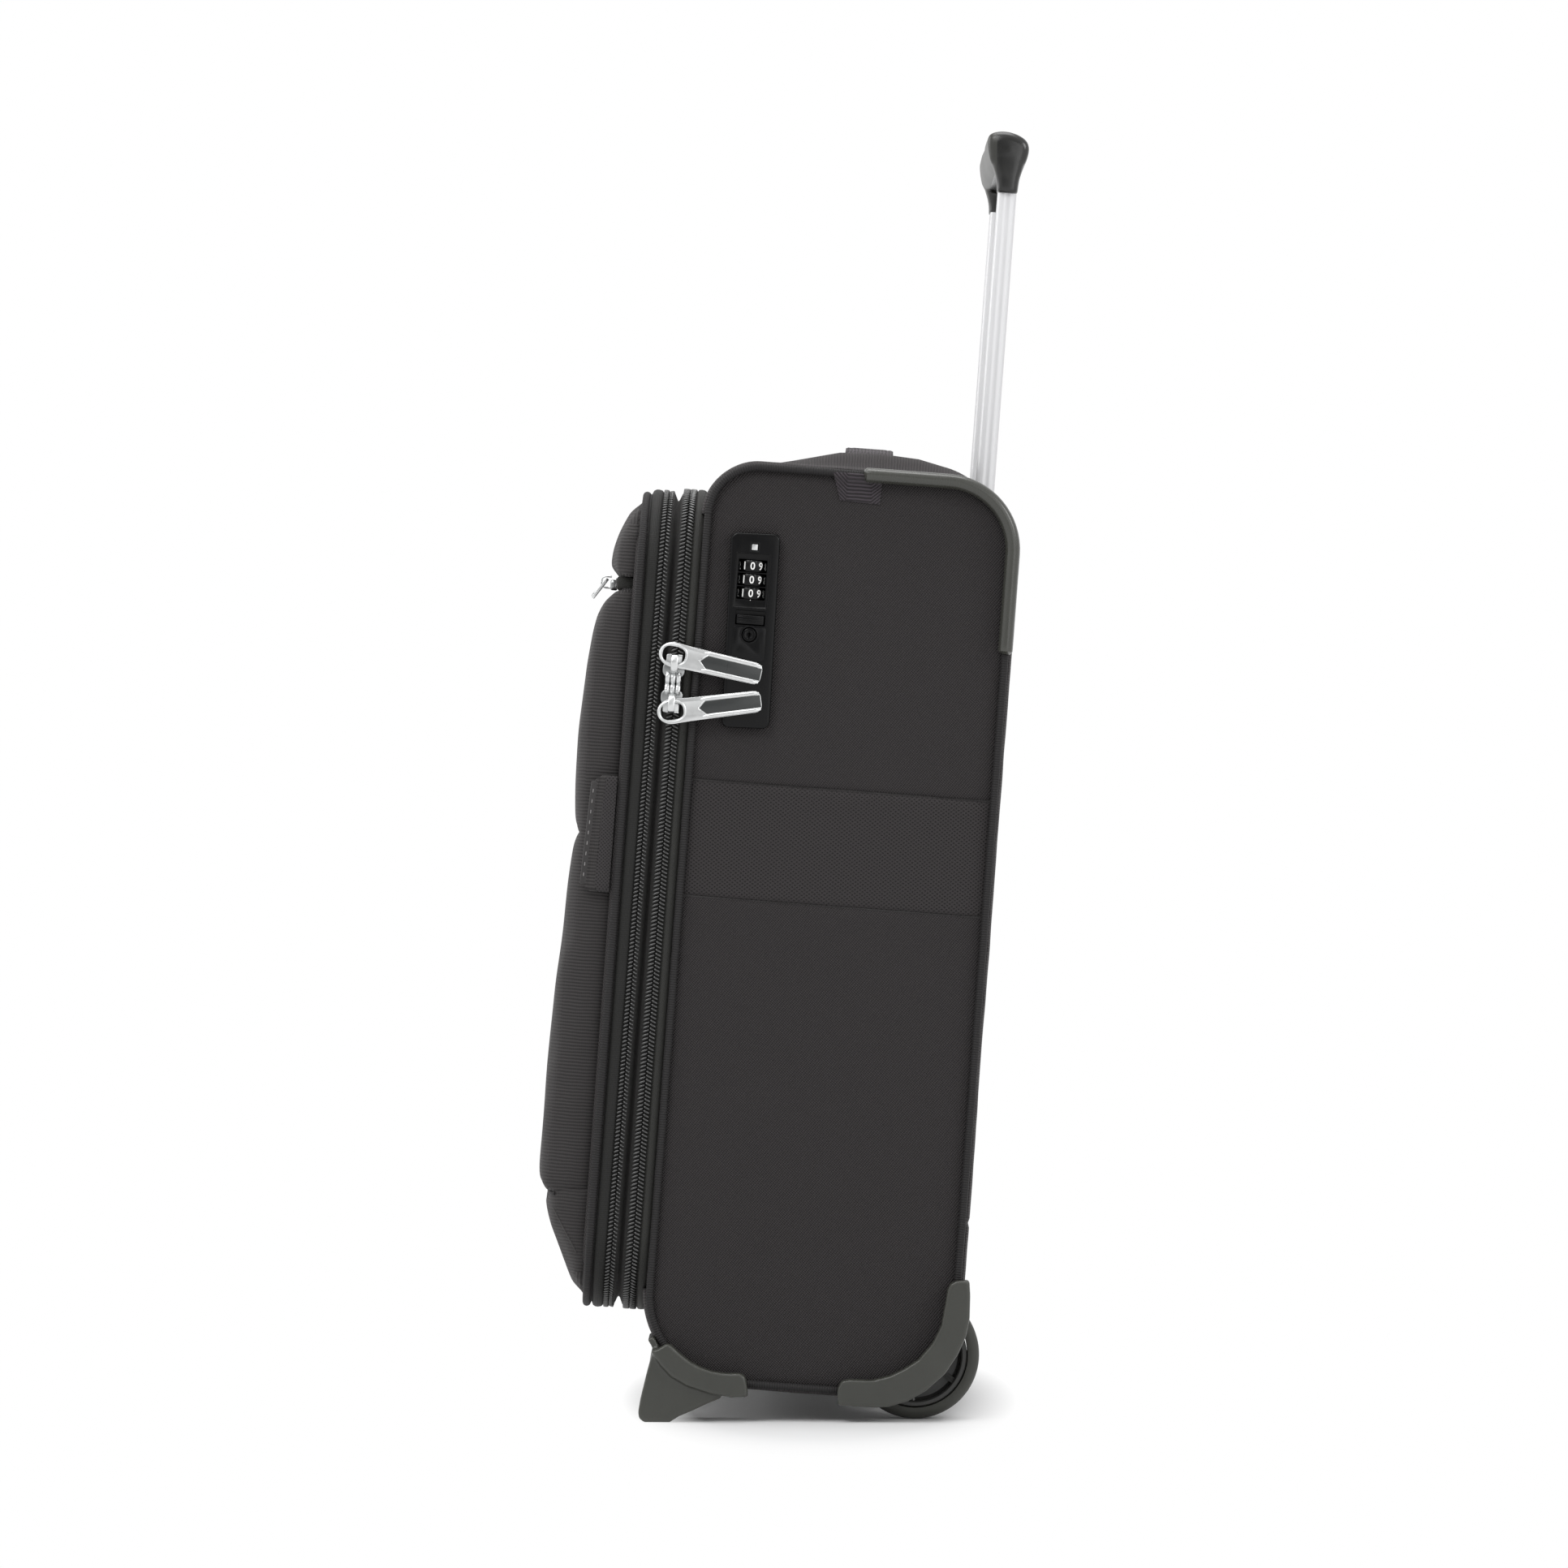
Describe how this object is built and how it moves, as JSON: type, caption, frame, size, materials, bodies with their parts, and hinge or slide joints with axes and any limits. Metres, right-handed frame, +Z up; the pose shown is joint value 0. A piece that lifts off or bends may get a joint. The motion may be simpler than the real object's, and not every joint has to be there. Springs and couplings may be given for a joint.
{
  "type": "softside upright suitcase",
  "caption": "Charcoal softside upright suitcase with an expandable zipped lid, a side combination lock, rear wheels and a telescopic handle.",
  "frame": {"origin": "middle of the footprint box of the whole case at rest, on the floor", "axes": "+Z up, -Y is the front with the lid and pockets, +Y is the back with the wheels and the telescopic handle, +X is the side with the lock"},
  "size_m": [0.402, 0.282, 0.7323],
  "materials": {
    "fabric": "woven charcoal polyester, matt with a fine diagonal grain",
    "pocket_fabric": "fine ribbed charcoal polyester",
    "webbing": "ribbed black webbing",
    "zip_tape": "dark olive-grey herringbone zip tape with a black coil",
    "piping": "fabric covered piping",
    "lining": "smooth grey polyester lining",
    "moulded": "satin moulded plastic",
    "gloss": "glossy black",
    "lock_black": "satin black",
    "tyre": "hard rubber",
    "aluminium": "bright satin anodised",
    "zinc": "satin silver plated zinc casting",
    "steel": "plain zinc plated"
  },
  "bodies": {
    "case": {"side_panel_right": "fabric", "side_panel_left": "fabric", "top_panel": "fabric", "back_panel": "fabric", "bottom_panel": "fabric", "front_border": "fabric", "front_hoop": "steel", "lining": "lining", "piping_right": "piping", "piping_left": "piping", "corner_guard_right": "moulded", "corner_guard_left": "moulded", "wheel_housing_right": "moulded", "wheel_housing_left": "moulded", "axle_right": "steel", "axle_left": "steel", "front_foot_right": "moulded", "front_foot_left": "moulded", "webbing_tab_right": "webbing", "webbing_tab_left": "webbing", "outer_tube_right": "steel", "outer_tube_left": "steel", "handle_bezel": "moulded", "tube_bracket": "moulded", "lock_housing": "lock_black", "zip_tape_case": "zip_tape"},
    "lid_rear": {"lid_frame": "zip_tape"},
    "lid_front": {"lid_shell": "fabric", "lid_lining": "lining", "lid_piping": "piping", "front_lower_panel": "pocket_fabric", "pocket_lower": "pocket_fabric", "pocket_upper": "pocket_fabric", "pocket_zip_tape": "zip_tape", "pocket_top_panel": "pocket_fabric", "lid_band_right": "webbing"},
    "zip_slider_upper": {"zip_slider_upper": "zinc"},
    "zip_puller_upper": {"zip_puller_upper": "zinc"},
    "zip_slider_lower": {"zip_slider_lower": "zinc"},
    "zip_puller_lower": {"zip_puller_lower": "zinc"},
    "expansion_slider": {"expansion_slider": "zinc"},
    "expansion_puller": {"expansion_puller": "zinc"},
    "pocket_slider": {"pocket_slider": "zinc"},
    "pocket_puller": {"pocket_puller": "zinc"},
    "lock_dial_1": {"lock_dial_1": "lock_black"},
    "lock_dial_2": {"lock_dial_2": "lock_black"},
    "lock_dial_3": {"lock_dial_3": "lock_black"},
    "release_slide": {"release_slide": "lock_black"},
    "key_cylinder": {"key_cylinder": "zinc"},
    "handle_middle": {"middle_tube_right": "aluminium", "middle_tube_left": "aluminium"},
    "handle_inner": {"inner_tube_right": "aluminium", "inner_tube_left": "aluminium", "grip": "gloss"},
    "grip_button": {"grip_button": "lock_black"},
    "carry_handle": {"carry_handle": "webbing"},
    "wheel_right": {"wheel_rim_right": "moulded", "tyre_right": "tyre"},
    "wheel_left": {"wheel_rim_left": "moulded", "tyre_left": "tyre"}
  },
  "joints": [
    {"name": "lid_open", "type": "hinge", "parent": "case", "child": "lid_rear", "pos_m": [-0.1965, -0.06498, 0.28921], "axis": [0, -0.075, -0.9972], "range_deg": [0, 165]},
    {"name": "expansion", "type": "slide", "parent": "lid_rear", "child": "lid_front", "axis": [0, -0.9972, 0.075], "range_m": [0, 0.03]},
    {"name": "zip_upper", "type": "slide", "parent": "case", "child": "zip_slider_upper", "axis": [0, 0.075, 0.9972], "range_m": [0, 0.044]},
    {"name": "puller_upper", "type": "hinge", "parent": "zip_slider_upper", "child": "zip_puller_upper", "pos_m": [0.1975, -0.05862, 0.42712], "axis": [0, -0.075, -0.9972], "range_deg": [0, 30]},
    {"name": "zip_lower", "type": "slide", "parent": "case", "child": "zip_slider_lower", "axis": [0, -0.075, -0.9972], "range_m": [0, 0.285]},
    {"name": "puller_lower", "type": "hinge", "parent": "zip_slider_lower", "child": "zip_puller_lower", "pos_m": [0.1975, -0.06095, 0.39611], "axis": [0, -0.075, -0.9972], "range_deg": [0, 30]},
    {"name": "expansion_zip", "type": "slide", "parent": "lid_rear", "child": "expansion_slider", "axis": [0, 0.075, 0.9972], "range_m": [0, 0.34]},
    {"name": "expansion_puller_swing", "type": "hinge", "parent": "expansion_slider", "child": "expansion_puller", "pos_m": [-0.1943, -0.09306, 0.12115], "axis": [0, 0.9972, -0.075], "range_deg": [0, 25]},
    {"name": "pocket_zip", "type": "slide", "parent": "lid_front", "child": "pocket_slider", "axis": [-1, 0, 0], "range_m": [0, 0.25]},
    {"name": "pocket_puller_swing", "type": "hinge", "parent": "pocket_slider", "child": "pocket_puller", "pos_m": [0.1, -0.09929, 0.4717], "axis": [-1, 0, 0], "range_deg": [-12, 60]},
    {"name": "dial_1_turn", "type": "hinge", "parent": "case", "child": "lock_dial_1", "pos_m": [0.1877, -0.01575, 0.47715], "axis": [0, 0.075, 0.9972], "continuous": true},
    {"name": "dial_2_turn", "type": "hinge", "parent": "case", "child": "lock_dial_2", "pos_m": [0.1877, -0.01633, 0.46947], "axis": [0, 0.075, 0.9972], "continuous": true},
    {"name": "dial_3_turn", "type": "hinge", "parent": "case", "child": "lock_dial_3", "pos_m": [0.1877, -0.0169, 0.4619], "axis": [0, 0.075, 0.9972], "continuous": true},
    {"name": "release_travel", "type": "slide", "parent": "case", "child": "release_slide", "axis": [0, 0.075, 0.9972], "range_m": [0, 0.0025]},
    {"name": "key_turn", "type": "hinge", "parent": "case", "child": "key_cylinder", "pos_m": [0.1951, -0.01783, 0.4388], "axis": [1, 0, 0], "range_deg": [0, 90]},
    {"name": "handle_lower_stage", "type": "slide", "parent": "case", "child": "handle_middle", "axis": [0, 0.075, 0.9972], "range_m": [0, 0.17]},
    {"name": "handle_upper_stage", "type": "slide", "parent": "handle_middle", "child": "handle_inner", "axis": [0, 0.075, 0.9972], "range_m": [-0.185, 0.14]},
    {"name": "grip_button_press", "type": "slide", "parent": "handle_inner", "child": "grip_button", "axis": [0, -0.075, -0.9972], "range_m": [0, 0.003]},
    {"name": "carry_handle_lift", "type": "slide", "parent": "case", "child": "carry_handle", "axis": [0, 0.075, 0.9972], "range_m": [0, 0.02]},
    {"name": "wheel_right_spin", "type": "hinge", "parent": "case", "child": "wheel_right", "pos_m": [0.166, 0.07504, 0.036], "axis": [1, 0, 0], "continuous": true},
    {"name": "wheel_left_spin", "type": "hinge", "parent": "case", "child": "wheel_left", "pos_m": [-0.166, 0.07504, 0.036], "axis": [1, 0, 0], "continuous": true}
  ]
}
